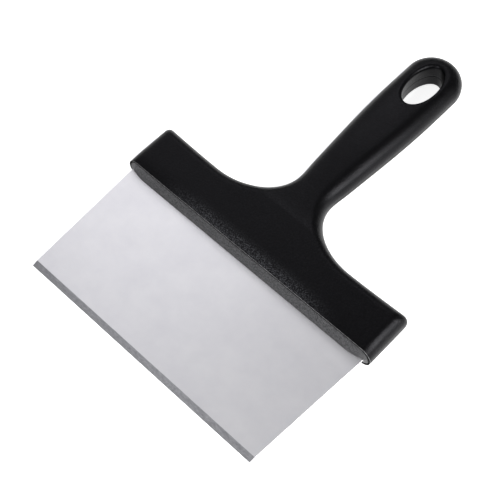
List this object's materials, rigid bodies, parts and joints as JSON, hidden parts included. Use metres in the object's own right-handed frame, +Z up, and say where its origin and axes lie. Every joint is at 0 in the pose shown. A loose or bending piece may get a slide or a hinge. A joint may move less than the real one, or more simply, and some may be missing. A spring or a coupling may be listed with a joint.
{
  "type": "bench scraper",
  "caption": "Flat steel dough scraper: wide bevelled blade set in a black moulded handle with a rounded T-shaped head and an oval hanging hole.",
  "frame": {"origin": "centre of the bounding box in plan, on the plane the grip's underside touches", "axes": "+Y from the cutting edge to the end of the grip, +X across the blade, +Z up through the blade's bevelled face"},
  "size_m": [0.169, 0.245, 0.0186],
  "materials": {
    "steel": "satin, fine lines along the cutting edge",
    "plastic": "semi-matt black with a fine spark-eroded grain"
  },
  "bodies": {
    "root": {"blade": "steel", "handle": "plastic"}
  },
  "joints": []
}
